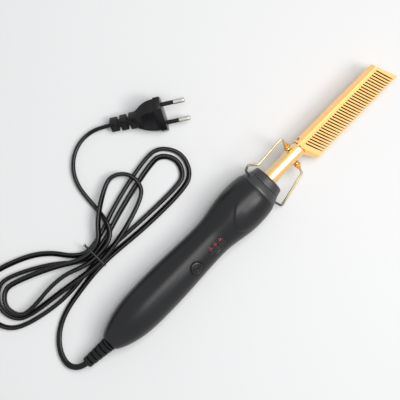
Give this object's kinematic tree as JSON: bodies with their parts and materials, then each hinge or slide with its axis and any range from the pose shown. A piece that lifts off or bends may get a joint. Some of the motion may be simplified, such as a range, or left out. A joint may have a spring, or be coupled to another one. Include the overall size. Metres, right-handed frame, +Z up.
{
  "type": "electric hot comb",
  "caption": "Electric pressing comb: slotted gold comb on a metal barrel, wire stand, round black handle with a button and a display window, and a mains cord tied in a hank, with its plug.",
  "frame": {"origin": "on the table under the middle of the tool, without its cord and plug", "axes": "+X along the tool from its cord end to the comb's tip, +Z up from the table"},
  "size_m": [0.362, 0.1521, 0.0391],
  "materials": {
    "soft_black": "satin soft-touch",
    "collar_black": "matte",
    "gloss_black": "glossy",
    "window_black": "glossy, smoked",
    "gold": "satin gold plating",
    "bead_gold": "polished",
    "wire": "satin",
    "steel": "plain",
    "pin_nickel": "polished nickel",
    "cord_black": "matte",
    "plug_black": "satin",
    "board_green": "solder mask",
    "ceramic_white": "matte",
    "lamp_red": "clear red lens",
    "holder_white": "matte",
    "film_yellow": "satin",
    "wire_red": "matte"
  },
  "bodies": {
    "tool": {"handle_top_shell": "soft_black", "handle_bottom_shell": "soft_black", "shell_screws": "steel", "collar_ring": "collar_black", "nose_cap": "collar_black", "insulating_bush": "ceramic_white", "barrel_tube": "gold", "comb_head": "gold", "head_screw": "steel", "heater_element": "ceramic_white", "heater_leads": "wire_red", "temperature_sensor": "ceramic_white", "thermal_fuse": "steel", "circuit_board": "board_green", "board_screws": "steel", "control_chip": "gloss_black", "film_capacitor": "film_yellow", "triac": "gloss_black", "switch_body": "gloss_black", "button_ring": "gloss_black", "display_window": "window_black", "led_holder": "holder_white", "indicator_lamps": "lamp_red", "cord_clamp": "holder_white", "clamp_screws": "steel", "cord_inside": "cord_black", "mains_leads": "wire_red", "cord_gland": "cord_black", "cord_handle_lead": "cord_black", "cord_hank": "cord_black", "cord_plug_lead": "cord_black", "twist_tie": "cord_black", "plug_body": "plug_black", "plug_pin_left": "pin_nickel", "plug_pin_right": "pin_nickel", "pin_sleeves": "plug_black"},
    "stand": {"wire_stand": "wire", "stand_bead_left": "bead_gold", "stand_bead_right": "bead_gold"},
    "button": {"power_button": "gloss_black", "switch_plunger": "holder_white"}
  },
  "joints": [
    {"name": "stand_hinge", "type": "hinge", "parent": "tool", "child": "stand", "pos_m": [0.0152, 0.00146, 0.02011], "axis": [-0.0114, 0.866, 0.4999], "range_deg": [0, 100]},
    {"name": "button_press", "type": "slide", "parent": "tool", "child": "button", "axis": [0.0198, 0.5, -0.8658], "range_m": [0, 0.0008], "stiffness_N_per_m": 1500}
  ]
}
